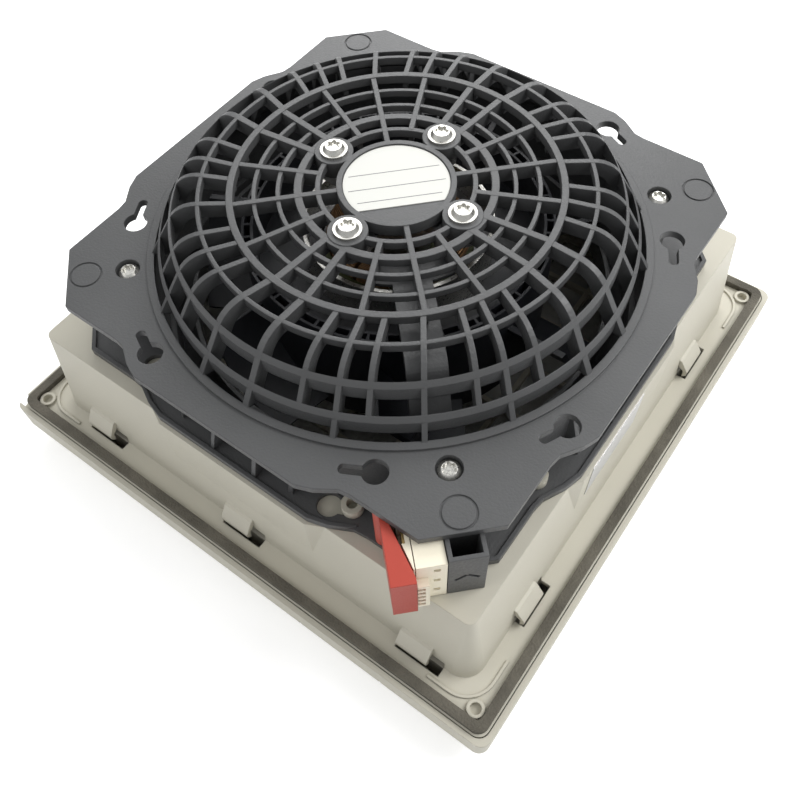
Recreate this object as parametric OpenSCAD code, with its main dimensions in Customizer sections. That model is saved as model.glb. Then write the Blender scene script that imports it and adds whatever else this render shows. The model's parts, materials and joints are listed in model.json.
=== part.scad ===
// Enclosure filter fan: square housing with louvred front, black fan module with domed guard.
// The louvred front lies at the bottom, +Z points to the fan side, the origin is at bottom centre.

/* [Front frame] */
// Width of the square front cover
frame_w = 255; // [250:1:260]
// Height of the cover rim, up to the panel plane
frame_h = 24; // [23:0.5:26]
// Wall of the cover rim
rim_t = 2.2; // [1.8:0.1:2.6]
// Corner radius of the cover
frame_r = 10; // [9.6:0.2:11]
// Corner radius of the upright band and of the flange
rim_r = 4.5; // [4.5:0.1:6]
// Height of the upright band of the rim
band_h = 13; // [12.6:0.2:14]
// Width of the cover at its face
face_w = 238; // [236:1:242]
// Thickness of the cover face
face_t = 2.4; // [2:0.2:3]
// Number of louvre slats
louvre_n = 12; // [8:1:14]
// Slant of a louvre slat
louvre_tilt = 40; // [30:1:50]
// Thickness of a louvre slat
louvre_t = 1.8; // [1.4:0.1:2.2]
// Width of the louvred field
louvre_w = 200; // [180:1:204]

/* [Housing] */
// Thickness of the mounting flange
flange_t = 2.5; // [2:0.1:3]
// Width of the box at the flange
box_base_w = 222.4; // [221:0.2:223]
// Width of the box at its top
box_top_w = 210.8; // [210:0.2:213]
// Height of the box above the panel plane
box_h = 46.3; // [44:0.1:50]
// Corner radius of the box at the flange
box_r = 9; // [8.6:0.2:10]
// Wall of the housing
wall = 2.2; // [1.8:0.1:2.6]
// Width of the upright pad in the middle of each side
pad_w = 86; // [76:1:90]
// Distance from the middle to the face of a pad
pad_reach = 108.7; // [108:0.1:109]
// Depth of the frame that holds the filter mat
tray_h = 16.5; // [15.5:0.1:17]
// Clear width of that frame
tray_w = 217; // [216.4:0.1:217.4]

/* [Seal] */
// Width across the outside of the foam seal
seal_w = 248.6; // [248:0.2:249.4]
// Width of the foam strip
seal_strip = 4; // [3:0.2:5]
// Height of the foam strip
seal_h = 3; // [2:0.1:4]

/* [Filter mat] */
// Width of the filter mat
mat_w = 215; // [213:0.5:216]
// Thickness of the filter mat
mat_t = 11.4; // [8:0.2:11.8]

/* [Bayonet] */
// Radius on which the bayonet posts stand
post_pcr = 106; // [105.6:0.1:106.4]
// Angle between a post and the nearest diagonal
post_ang = 18.3; // [17:0.1:19]
// Diameter of a post head
post_d = 8; // [7.4:0.1:8.2]
// Diameter of a post neck
post_neck_d = 5; // [4.6:0.1:5.4]
// Turn that frees the fan module
twist_ang = 4.7; // [4.7:0.1:5]

/* [Fan module] */
// Thickness of the carrier plate
carrier_t = 2.2; // [1.8:0.1:2.4]
// Distance of the guard plate underside from the carrier underside
tube_h = 28.9; // [27:0.1:30]
// Thickness of the guard plate
plate_t = 3; // [2.4:0.1:3.4]
// Distance from the middle to a plate flat
plate_mid = 108.5; // [108:0.1:109]
// Half length of a plate flat
plate_mid_half = 36.5; // [34:0.5:38]
// Distance from the middle to a lug side
lug_side = 100.8; // [100:0.1:101.2]
// Distance from the middle to the cut corner of a lug
lug_cut = 128.3; // [127:0.1:128.8]
// Distance from the middle to the screws and keyholes
screw_pcr = 105.4; // [105:0.1:105.8]

/* [Guard dome] */
// Height of the dome above the top of the guard plate
dome_h = 26; // [24:0.2:28]
// Radius of the flat middle of the dome
dome_flat_r = 73; // [72:0.2:74]
// Radius of the bend between the flat and the flank
dome_bend_r = 14; // [12:0.2:15]
// Slope of the dome flank
dome_slope = 58; // [57:0.5:59]
// Depth of the guard ribs
rib_h = 6.5; // [5:0.1:7]
// Width of the thin rings and spokes
rib_t = 1.6; // [1.4:0.1:1.9]
// Width of the strong rings and spokes
rib_wide = 2.5; // [2.2:0.1:2.8]
// Yaw of the outer spokes
swirl = 8.6; // [7:0.1:10]
// Diameter of the hub cap
cap_d = 44.2; // [44:0.1:44.6]
// Diameter of a motor screw boss
boss_d = 14.6; // [14.4:0.1:15]
// Radius on which the motor screws stand
motor_pcr = 29.1; // [29:0.1:29.2]

/* [Impeller and motor] */
// Diameter over the blade tips
fan_d = 165; // [160:0.5:166]
// Number of blades
blade_n = 7; // [5:1:9]
// Outer diameter of the rotor can
can_d = 74.2; // [73.6:0.1:74.6]
// Height of the rotor can
can_h = 56; // [50:1:58]
// Wall of the rotor can
can_t = 1.5; // [1.2:0.1:1.8]
// Outer diameter of the pocket ring on the impeller hub
ring_d = 120.4; // [119:0.1:121]
// Number of balancing pockets
pocket_n = 56; // [40:2:60]
// Diameter of the motor shaft
shaft_d = 8; // [7.8:0.1:8]
// Air gap between stator and rotor
air_gap = 0.5; // [0.4:0.1:0.6]
// Outer diameter of a ball bearing
bearing_d = 22; // [21:0.5:22]
// Width of a ball bearing
bearing_w = 7; // [6:0.5:7]

/* [Connector and lever] */
// Height of the connector above the box top
conn_h = 28; // [26:0.2:28.4]
// Width of the connector
conn_w = 15; // [14:0.2:15.2]
// Angle through which the lever turns
lever_swing = 25; // [15:1:25]

/* [Hidden] */
$fn = 96;
// Overrun of every cut
cut = 1;
// Gap between pieces that move past each other
gap = 0.3;
// Radial clearance of a pin or shaft in its bore
fit = 0.05;
// Colours
grey = [0.78, 0.76, 0.70];
black = [0.20, 0.21, 0.22];
steel = [0.75, 0.76, 0.78];
// Levels
panel_z = frame_h;
flange_z = panel_z - flange_t;
box_z = panel_z + box_h;
carrier_z = box_z + gap;
plate_z = carrier_z + tube_h;
plate_top = plate_z + plate_t;
dome_top = plate_top + dome_h;
// Flange and cover
flange_w = frame_w - 2 * rim_t - 2 * gap;
band_z = frame_h - band_h;
face_r = frame_r - (frame_w - face_w) / 2;
box_draft = (box_base_w - box_top_w) / 2;
box_top_r = box_r - box_draft;
// Ledge on which the mat grid bears
ledge = 4.5;
open_w = tray_w - 2 * ledge;
grid_t = 3.1;
mat_z = flange_z - grid_t - mat_t;
// Hinge of the cover on the left side
hinge_in = 6;
hinge_x = -(frame_w / 2 - hinge_in);
hinge_z = band_z;
hinge_pin_d = 4.6;
ear_r = 4.4;
ear_t = 4;
lug_t = 3;
lug_r = 3.4;
hinge_y = 88;
rim_low = 8.2;
// Tube and nozzle of the fan
tube_r = 99;
tube_t = 2;
tube_in_r = tube_r - tube_t;
box_open_r = 98.4;
nozzle_gap = 2;
nozzle_r = fan_d / 2 + nozzle_gap;
nozzle_t = 1.8;
nozzle_h = 16;
// Bayonet
keyhole_play = 1.4;
keyhole_d = post_d + keyhole_play;
post_slot = post_neck_d + 2 * gap;
post_h = 7.2;
post_bore_d = 4;
// Turn between the round end and the narrow end of a keyhole
key_turn = twist_ang;
post_angs = [45 - post_ang, 45 + post_ang];
quarters = [0, 90, 180, 270];
diagonals = [45, 135, 225, 315];
sides = [-1, 1];
// Latches: place along the side, as a share of half the box
latch_len = 20;
latch_deep = 4.1;
latch_rise = 10;
latch_t = 2;
latch_down_shares = [-0.72, 0, 0.8];
latch_right_shares = [-0.635, 0.62];
// Corner ribs and ring bosses on the flange
corner_rib_t = 1.2;
corner_rib_h = 0.8;
corner_rib_out = 117.8;
corner_rib_r = 13;
corner_rib_leg = 9.5;
ring_boss_at = 116.8;
ring_boss_d = 7;
ring_boss_bore = 4.4;
ring_boss_h = 1.4;
// Outlines of the carrier and of the guard plate
outline_step = 1.2;
carrier_mid = plate_mid - outline_step;
lug_step = 0.5;
carrier_lug = lug_side - lug_step;
// Seat of a post head above the box top
post_seat = gap + carrier_t + gap;
latch_share = 0.72;
// Run of the slanted edge of a pad
pad_run = 7;
grid_n = 8;
grid_bar = 2.4;
// Type label on the right wall
label_mid = 33;
label_y = -9;
label_len = 40;
label_high = 22;
label_t = 0.3;
// Louvre slats
slat_h = 4.6;
slat_chord = 9;
// Ticks along the edge of the cover
tick_pitch = 40;
tick_t = 0.8;
tick_h = 3;
carrier_neck = 21.6;
plate_neck = 17.5;
lip_t = 1.6;
lip_h = 3.4;
gusset_t = 1.8;
gusset_r = 106;
gusset_angs = [5.5, 14, 35, 51.5, 74, 84.5];
gusset_drop = 2;
screw_boss_d = 14;
screw_d = 3.5;
screw_len = 16;
plate_head_d = 8;
plate_head_h = 2.6;
plate_hole_d = 9.5;
motor_screw_d = 4.2;
motor_head_d = 10.5;
motor_head_h = 2.8;
motor_head_rim = 1;
star_r = 1.9;
star_lobe = 0.75;
star_deep = 1.1;
// Guard plate keyholes: turn from a diagonal to the round end
guard_key_angs = [-13.2, 23.3];
guard_key_turns = [-5.7, -5.1];
guard_slot = 3.7;
emboss_at = 121.4;
emboss_d = 12.6;
emboss_t = 0.8;
emboss_deep = 0.5;
plate_open_r = 95.6;
// Dome rings: radius shares of the flat radius, widths and sink below the dome face
ring_r_shares = [0.396, 0.496, 0.597, 0.718, 0.838, 0.997, 1.158, 1.248];
ring_width_shares = [0.72, 1.12, 0.6, 0.6, 1, 0.6, 0.6, 0.6];
ring_sink_shares = [0.05, 0.05, 0.12, 0.12, 0, 0.05, 0.05, 0.05];
dome_tan_r = dome_flat_r + dome_bend_r * sin(dome_slope);
dome_tan_z = dome_h - dome_bend_r * (1 - cos(dome_slope));
dome_foot_r = dome_tan_r + dome_tan_z / tan(dome_slope);
foot_lip_t = 2;
foot_lip_h = 1.2;
bend_steps = 6;
cap_h = 5;
cap_rim = 2.1;
cap_sink = 0.8;
spoke_sink = 0.25;
ring_deep_share = 0.55;
rib_mid_share = 0.8;
rib_mid = rib_mid_share * rib_wide;
diag_ang = 45;
boss_drop = 0.4;
boss_h = rib_h + boss_drop;
main_ang = 6.5;
main_out_ang = 6.6;
inner_ang = 25;
mid_angs = [18.4, 33.4];
foot_ang = 26.5;
pivot_lag = 0.7;
label_chord = 11.8;
label_t2 = 0.3;
// Cable duct
duct_ang = -45;
duct_w = 14;
duct_h = 6;
duct_t = 1.3;
duct_gap = 0.2;
duct_in_r = 36;
duct_yaw = 3.5;
shelf_in_r = 30.5;
shelf_out_r = 43;
shelf_from = -66;
shelf_to = -26;
lead_d = 4.4;
// Nozzle
bell_r = 12;
nozzle_skirt_r = nozzle_r + bell_r;
throat_h = 8;
// Motor levels, from the rotor rim downwards
rotor_up = 39.4;
rotor_z = carrier_z + rotor_up;
can_z = rotor_z - can_h;
floor_t = 2;
hub_r = 10;
hub_h = 6.7;
can_r = can_d / 2;
cage_t = 4.1;
cage_r = can_r - can_t - fit;
cage_in_r = cage_r - cage_t;
stator_r = cage_in_r - air_gap;
stack_h = 26;
cage_h = 30;
stack_lift = 15;
stack_z = can_z + floor_t + stack_lift;
head_h = 9;
head_in_r = 17;
head_out_r = 28.5;
coil_n = 12;
coil_gap = 1.6;
insul_t = 1.2;
tube_wall = 2;
tube_lip = 1;
bore_r = bearing_d / 2;
bear_tube_r = bore_r + tube_wall;
bear_low_z = can_z + floor_t + hub_h + gap + tube_lip;
flange_top = dome_top - boss_h;
flange_plate_t = 4;
arm_w = 12;
arm_hub_r = 17;
bear_up_z = flange_top - flange_plate_t - bearing_w;
shaft_r = shaft_d / 2;
clip_t = 1;
clip_w = 2.2;
spring_h = 2;
spring_w = 3;
shaft_top = bear_up_z + bearing_w + 3 * clip_t;
// Impeller
ring_r = ring_d / 2;
ring_w = 4.6;
ring_wall = 1.1;
pocket_h = 6;
ring_up = 1;
rung_t = 1;
imp_floor_drop = 16;
imp_floor_t = 2;
imp_low = 8;
sleeve_t = 1.6;
blade_z = can_z + imp_low;
blade_drop = 12;
blade_top = rotor_z - blade_drop;
blade_t = 2.4;
blade_arc_r = 62;
blade_from = 200;
blade_to = 247;
blade_mid = (blade_from + blade_to) / 2;
// Connector, in the frame of the near diagonal
near = -45;
block_out = 136;
block_right = 6.9;
block_left = 5.9;
block_t = 1.5;
block_floor = 2.4;
chevron_w = 9;
chevron_t = 0.7;
chevron_tilt = 42;
conn_in = 112.5;
conn_split = 124;
conn_out = 136;
conn_right = -block_left - gap;
conn_left = conn_right - conn_w;
plug_w = 10.1;
plug_left = conn_right - plug_w;
conn_top = box_z + conn_h;
conn_low = box_z + 2 * gap;
comb_n = 6;
comb_t = 1.5;
comb_pitch = 3.4;
comb_reach = 3;
comb_w = 4;
hole_w = 2.2;
hole_n = 3;
blade_w = 5;
blade_pin_t = 0.8;
blade_in = 5;
blade_out = 7;
plug_travel = 20;
// Lever
lever_in = 113.5;
lever_pin_t = -24.2;
lever_pin_d = 3;
lever_eye_r = 2.8;
lever_out = 141;
lever_left = -25;
lever_right = -16.7;
lever_t = 2;
lever_top = plate_z - gap;
lever_low = carrier_z + carrier_t + gap;
lead_ang = -50;
lead_drop = 7;
lead_z = plate_z - lead_drop;
lead_o = rib_h + duct_gap + duct_t + lead_d / 2 + gap;
cheek_end = -17;
cheek_root = -20.2;
slot_len = 6;
slot_w = 2;
slot_deep = 8;
function at_angle(r, a, z) = [r * cos(a), r * sin(a), z];
lead_bend = dome_bend_r - lead_o;
lead_tan_r = dome_flat_r + lead_bend * sin(dome_slope);
lead_tan_z = plate_top + dome_h - dome_bend_r + lead_bend * cos(dome_slope);
duct_mid = duct_ang - duct_yaw / 2;
lead_pts = [at_angle(arm_hub_r + arm_w, duct_mid, dome_top - lead_o),
  at_angle(dome_flat_r, duct_mid, dome_top - lead_o), at_angle(lead_tan_r, duct_mid, lead_tan_z),
  at_angle(lead_tan_r + (lead_tan_z - plate_top) / tan(dome_slope), duct_mid, plate_top),
  at_angle(dome_tan_r + lead_d, lead_ang, lead_z), at_angle(tube_r, lead_ang, lead_z),
  at_angle(conn_in / cos(near - lead_ang) - gap, lead_ang, lead_z)];

// Square with rounded corners
module rsq(w, r) {
  square([w, w - 2 * r], center = true);
  square([w - 2 * r, w], center = true);
  for (x = sides, y = sides) translate([x * (w / 2 - r), y * (w / 2 - r)]) circle(r);
}
// Square frame with rounded corners, outer width w, strip width t
module rframe(w, t, r) {
  difference() { rsq(w, r); rsq(w - 2 * t, max(r - t, r / 3)); }
}
// Rounded box that tapers from width b to width t over height h, corner radius r at b
module frustum(b, t, h, r) {
  d = (b - t) / 2;
  for (a = [0, 90]) rotate([90, 0, a]) linear_extrude(b - 2 * r, center = true)
    polygon([[-b / 2, 0], [b / 2, 0], [t / 2, h], [-t / 2, h]]);
  for (x = sides, y = sides) translate([x * (b / 2 - r), y * (b / 2 - r), 0])
    cylinder(h = h, r1 = r, r2 = r - d);
}
// Places a child at radius r on an angle
module polar(r, a) { rotate(a) translate([r, 0, 0]) children(); }
// Flat annular sector from angle a0 to a1, mean radius r, width w
module sector(r, w, a0, a1) {
  far = 2 * r;
  intersection() {
    difference() { circle(r + w / 2); circle(r - w / 2); }
    polygon([[0, 0], far * [cos(a0), sin(a0)], far * [cos((a0 + a1) / 2), sin((a0 + a1) / 2)],
      far * [cos(a1), sin(a1)]]);
  }
}
// Outline with four lugs: flats at mid, lug sides at side, corners cut at the diagonal distance
neck_shares = [[0.30, 0.35], [0.91, 0.75], [1, 1]];
function quarter_pts(mid, half, side, neck, diag) = concat([[mid, -half], [mid, half]],
  [for (s = neck_shares) [mid - s[0] * (mid - side), half + s[1] * neck]],
  [[side, diag * sqrt(2) - side], [diag * sqrt(2) - side, side]],
  [for (i = [len(neck_shares) - 1 : -1 : 0]) let (s = neck_shares[i])
    [half + s[1] * neck, mid - s[0] * (mid - side)]]);
function turned(p, a) = [p[0] * cos(a) - p[1] * sin(a), p[0] * sin(a) + p[1] * cos(a)];
module lug_outline(mid, half, side, neck, diag) {
  polygon([for (a = quarters, p = quarter_pts(mid, half, side, neck, diag)) turned(p, a)]);
}
// Keyhole on radius r: round end at angle a, narrow end at angle a + turn
module keyhole(r, a, turn, d, w) {
  polar(r, a) circle(d / 2);
  polar(r, a + turn) circle(w / 2 + fit);
  sector(r, w, min(a, a + turn), max(a, a + turn));
}

// One bayonet post: neck, head and blind bore
module post() {
  difference() {
    union() {
      translate([0, 0, -wall / 2]) cylinder(h = post_h + wall / 2, d = post_neck_d);
      translate([0, 0, post_seat]) cylinder(h = post_h - post_seat, d = post_d);
    }
    translate([0, 0, post_seat]) cylinder(h = post_h, d = post_bore_d);
  }
}
// Cut for one latch, outwards along -Y, centred on x = 0
module latch_cut() {
  translate([-latch_len / 2, -box_base_w / 2 - latch_deep, flange_z - cut])
    cube([latch_len, latch_deep + 2 * wall, flange_t + cut + latch_deep]);
}
// Tongue of one latch, rooted in the wall above the cut
module latch_tongue() {
  out = box_base_w / 2;
  tip = panel_z + gap;
  translate([-latch_len / 2, 0, 0]) rotate([90, 0, 90])
    linear_extrude(latch_len * latch_share) polygon([
      [-out + box_draft, panel_z + latch_rise + latch_t], [-out, panel_z + latch_rise],
      [-out - latch_deep + gap, tip + latch_deep], [-out - latch_deep + gap, tip + latch_t],
      [-out - latch_deep + latch_t, tip], [-out - latch_deep + latch_t + gap, tip + latch_deep],
      [-out + box_draft / 2, panel_z + latch_rise - latch_t]]);
}
module latches(kind) {
  for (s = latch_down_shares) translate([s * box_base_w / 2, 0, 0])
    if (kind == 0) latch_cut(); else latch_tongue();
  for (s = latch_right_shares) rotate(90) translate([s * box_base_w / 2, 0, 0])
    if (kind == 0) latch_cut(); else latch_tongue();
  for (s = latch_down_shares) rotate(180) translate([s * box_base_w / 2, 0, 0])
    if (kind == 0) latch_cut(); else latch_tongue();
  for (s = latch_right_shares) rotate(270) translate([s * box_base_w / 2, 0, 0])
    if (kind == 0) latch_cut(); else latch_tongue();
}
// Raised rib round one corner of the box foot
module corner_rib() {
  c = corner_rib_out - corner_rib_r;
  mid = corner_rib_r - corner_rib_t / 2;
  translate([c, c]) sector(mid, corner_rib_t, 0, 90);
  translate([c - corner_rib_leg, corner_rib_out - corner_rib_t])
    square([corner_rib_leg, corner_rib_t]);
  translate([corner_rib_out - corner_rib_t, c - corner_rib_leg])
    square([corner_rib_t, corner_rib_leg]);
}
// Lug with a peg for the cover hinge
module hinge_lug() {
  translate([hinge_x, hinge_y, 0]) rotate([-90, 0, 0]) {
    translate([0, -hinge_z, 0]) cylinder(h = lug_t, r = lug_r);
    translate([0, -hinge_z, 0]) cylinder(h = lug_t + gap + ear_t, d = hinge_pin_d);
    translate([-lug_r, -flange_z - cut / 2, 0]) cube([2 * lug_r, flange_z - hinge_z + cut / 2, lug_t]);
  }
}
module housing() {
  color(grey) {
    difference() {
      union() {
        translate([0, 0, flange_z]) linear_extrude(flange_t) rsq(flange_w, rim_r);
        translate([-frame_w / 2, -flange_w / 2 + rim_r, flange_z])
          cube([rim_r, flange_w - 2 * rim_r, flange_t]);
        translate([0, 0, flange_z - tray_h]) linear_extrude(tray_h) rsq(tray_w + 2 * wall, wall * 2);
        translate([0, 0, panel_z]) frustum(box_base_w, box_top_w, box_h, box_r);
        for (a = quarters) rotate(a) translate([0, 0, panel_z]) linear_extrude(box_h)
          polygon([[box_top_w / 2 - wall, -pad_w / 2], [box_top_w / 2, -pad_w / 2],
            [pad_reach, -pad_w / 2 + pad_run], [pad_reach, pad_w / 2 - pad_run],
            [box_top_w / 2, pad_w / 2], [box_top_w / 2 - wall, pad_w / 2]]);
        for (a = diagonals) rotate(a - 45) translate([0, 0, panel_z]) {
          linear_extrude(corner_rib_h) corner_rib();
          translate([ring_boss_at, ring_boss_at, 0]) cylinder(h = ring_boss_h, d = ring_boss_d);
        }
        for (q = quarters, a = post_angs) polar(post_pcr, q + a) translate([0, 0, box_z]) post();
      }
      translate([0, 0, flange_z - tray_h - cut]) linear_extrude(tray_h + cut) rsq(tray_w, wall);
      translate([0, 0, flange_z - cut]) linear_extrude(flange_t + cut) rsq(open_w, box_r / 2);
      translate([0, 0, panel_z]) frustum(box_base_w - 2 * wall, box_top_w - 2 * wall,
        box_h - wall, box_r - wall / 2);
      cylinder(h = box_z + cut, r = box_open_r);
      for (a = diagonals) rotate(a) translate([ring_boss_at * sqrt(2), 0, panel_z - flange_t / 2])
        cylinder(h = flange_t + ring_boss_h, d = ring_boss_bore);
      latches(0);
    }
    latches(1);
    hinge_lug();
    mirror([0, 1, 0]) hinge_lug();
  }
}
module sealing_gasket() {
  color([0.40, 0.38, 0.34]) translate([0, 0, panel_z]) linear_extrude(seal_h) difference() {
    rframe(seal_w, seal_strip, rim_r);
    for (x = sides, y = sides) translate([x * ring_boss_at, y * ring_boss_at])
      circle(ring_boss_d / 2 + gap);
  }
}
module filter_mat() {
  color([0.92, 0.92, 0.90]) translate([0, 0, mat_z]) linear_extrude(mat_t) rsq(mat_w, wall);
}
module mat_grid() {
  color(grey) translate([0, 0, flange_z - grid_t]) linear_extrude(grid_t) {
    rframe(mat_w, ledge, wall);
    for (i = [1 : grid_n - 1]) {
      p = (i / grid_n - 1 / 2) * mat_w;
      translate([p, 0]) square([grid_bar, mat_w - ledge], center = true);
      translate([0, p]) square([mat_w - ledge, grid_bar], center = true);
    }
  }
}
module type_label() {
  color([0.80, 0.81, 0.82]) translate([pad_reach, label_y - label_len / 2,
    panel_z + label_mid - label_high / 2]) cube([label_t, label_len, label_high]);
}
// Louvre slats and uprights within the field of the cover
module louvres() {
  pitch = louvre_w / louvre_n;
  intersection() {
    translate([-louvre_w / 2 - 1 * face_t / 2, -louvre_w / 2 - face_t / 2, 0])
      cube([louvre_w + face_t, louvre_w + face_t, slat_h]);
    for (i = [0 : louvre_n - 1]) translate([0, (i + 1 / 2) * pitch - louvre_w / 2, slat_h / 2])
      rotate([louvre_tilt, 0, 0]) cube([louvre_w + face_t, slat_chord, louvre_t], center = true);
  }
  for (x = [-1, 1] * louvre_w / 6) translate([x - louvre_t / 2, -louvre_w / 2 - face_t / 2, 0])
    cube([louvre_t, louvre_w + face_t, slat_h]);
}
// Ear of the cover on the hinge side, with its bore and its foot on the face
module hinge_ear() {
  translate([hinge_x, hinge_y + lug_t + gap, 0]) rotate([-90, 0, 0]) {
    translate([0, -hinge_z, 0]) cylinder(h = ear_t, r = ear_r);
    translate([-ear_r, -hinge_z, 0]) cube([2 * ear_r, hinge_z - face_t / 2, ear_t]);
  }
}
module front_grille() {
  color(grey) difference() {
    union() {
      difference() {
        union() {
          frustum(face_w, frame_w, band_z, face_r);
          translate([0, 0, band_z]) linear_extrude(band_h) rsq(frame_w, rim_r);
        }
        translate([0, 0, face_t]) frustum(face_w - 2 * rim_t, frame_w - 2 * rim_t,
          band_z - face_t + cut / 100, face_r);
        translate([0, 0, band_z]) linear_extrude(band_h + cut) rsq(frame_w - 2 * rim_t, rim_r);
        cube([louvre_w, louvre_w, 2 * band_z], center = true);
        translate([-frame_w / 2 - cut, -flange_w / 2 - gap, hinge_z + rim_low])
          cube([frame_w / 4, flange_w + 2 * gap, band_h]);
      }
      louvres();
      hinge_ear();
      mirror([0, 1, 0]) hinge_ear();
    }
    for (m = [0, 1]) mirror([0, m, 0]) translate([hinge_x, hinge_y - gap, 0]) {
      translate([0, 0, hinge_z]) rotate([-90, 0, 0])
        cylinder(h = lug_t + gap + ear_t + cut, d = hinge_pin_d + 2 * fit);
      translate([-hinge_in - cut, -cut, hinge_z - lug_r - 2 * gap])
        cube([2 * hinge_in, lug_t + 2 * gap + cut, band_h]);
    }
    for (a = quarters, i = [-2 : 2]) rotate(a) translate([frame_w / 2, i * tick_pitch, band_z])
      cube([2 * tick_t, tick_t, tick_h], center = true);
  }
}

// Frame of the near diagonal: X outwards, Y along the lug
module at_near() { rotate(near) children(); }
// Upright prism from z0 to z1
module slab(z0, z1) { translate([0, 0, z0]) linear_extrude(z1 - z0) children(); }
module carrier_keys() {
  for (q = quarters, a = post_angs) keyhole(post_pcr, q + a - key_turn, key_turn, keyhole_d, post_slot);
}
module fan_carrier() {
  color(black) difference() {
    union() {
      slab(carrier_z, carrier_z + carrier_t)
        lug_outline(carrier_mid, plate_mid_half, carrier_lug, carrier_neck, lug_cut);
      slab(carrier_z, carrier_z + lip_h) difference() {
        lug_outline(carrier_mid, plate_mid_half, carrier_lug, carrier_neck, lug_cut);
        lug_outline(carrier_mid - lip_t, plate_mid_half, carrier_lug - lip_t, carrier_neck,
          lug_cut - lip_t);
      }
      slab(carrier_z, plate_z - gap) circle(tube_r);
      for (q = quarters, a = gusset_angs) rotate([90, 0, q + a])
        linear_extrude(gusset_t, center = true) polygon([[tube_r - tube_t / 2, carrier_z],
          [gusset_r, carrier_z], [gusset_r, carrier_z + lip_h],
          [tube_r - tube_t / 2, plate_z - gusset_drop]]);
      for (a = diagonals) polar(screw_pcr, a) slab(carrier_z, plate_z) circle(d = screw_boss_d);
      at_near() translate([lug_cut - 2 * lip_t, -block_left, carrier_z])
        cube([block_out - lug_cut + 2 * lip_t, block_left + block_right, tube_h]);
    }
    slab(carrier_z - cut, plate_z + cut) circle(tube_in_r);
    slab(carrier_z - cut, carrier_z + lip_h + cut) carrier_keys();
    for (a = diagonals) polar(screw_pcr, a) translate([0, 0, plate_z - screw_len])
      cylinder(h = screw_len + cut, d = screw_d + 2 * fit);
    at_near() {
      translate([lug_cut - 2 * lip_t + block_t, -block_left + block_t, carrier_z + block_floor])
        cube([block_out - lug_cut + 2 * lip_t - 2 * block_t, block_left + block_right - 2 * block_t,
          tube_h]);
      translate([conn_split - gap, 2 * lever_left, carrier_z - cut])
        cube([block_out, -2 * lever_left + conn_right + gap, lip_h + 2 * cut]);
      translate([lever_in - 2 * lever_eye_r, 2 * lever_left, carrier_z + carrier_t])
        cube([block_out, -2 * lever_left + conn_right + gap, lip_h]);
      translate([lever_in, lever_pin_t, carrier_z - cut]) cylinder(h = 2 * cut + carrier_t, d = lever_pin_d);
      for (s = sides) translate([block_out, (block_right - block_left) / 2, carrier_z + tube_h / 2])
        rotate([s * chevron_tilt, 0, 0]) translate([-chevron_t, -chevron_t / 2 - (s + 1) * chevron_w / 4, 0])
          cube([cut + chevron_t, chevron_w / 2 + chevron_t, 2 * chevron_t]);
    }
    rotate(lead_ang) translate([0, 0, lead_z]) rotate([0, 90, 0])
      cylinder(h = tube_r + cut, d = lead_d + 2 * gap);
  }
}
// Dome section from the axis outwards, moved inwards by o; z = 0 is the top of the plate
module dome_section(o) {
  r = dome_bend_r - o;
  tz = dome_h - dome_bend_r + r * cos(dome_slope);
  foot = dome_flat_r + r * sin(dome_slope) + tz / tan(dome_slope);
  polygon(concat([[0, 0], [foot, 0]],
    [for (i = [0 : bend_steps]) let (a = 90 - dome_slope * (1 - i / bend_steps))
      [dome_flat_r + r * cos(a), dome_h - dome_bend_r + r * sin(a)]], [[0, dome_h - o]]));
}
// Band of the dome section between two depths, from radius r0 to radius r1
module dome_band(o0, o1, r0, r1) {
  intersection() {
    difference() { dome_section(o0); dome_section(o1); }
    translate([r0, 0]) square([r1 - r0, dome_h]);
  }
}
module spoke(a, r0, r1, t) {
  translate([0, 0, plate_top]) rotate([90, 0, a]) linear_extrude(t, center = true)
    dome_band(spoke_sink, rib_h - spoke_sink, r0, r1);
}
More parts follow.
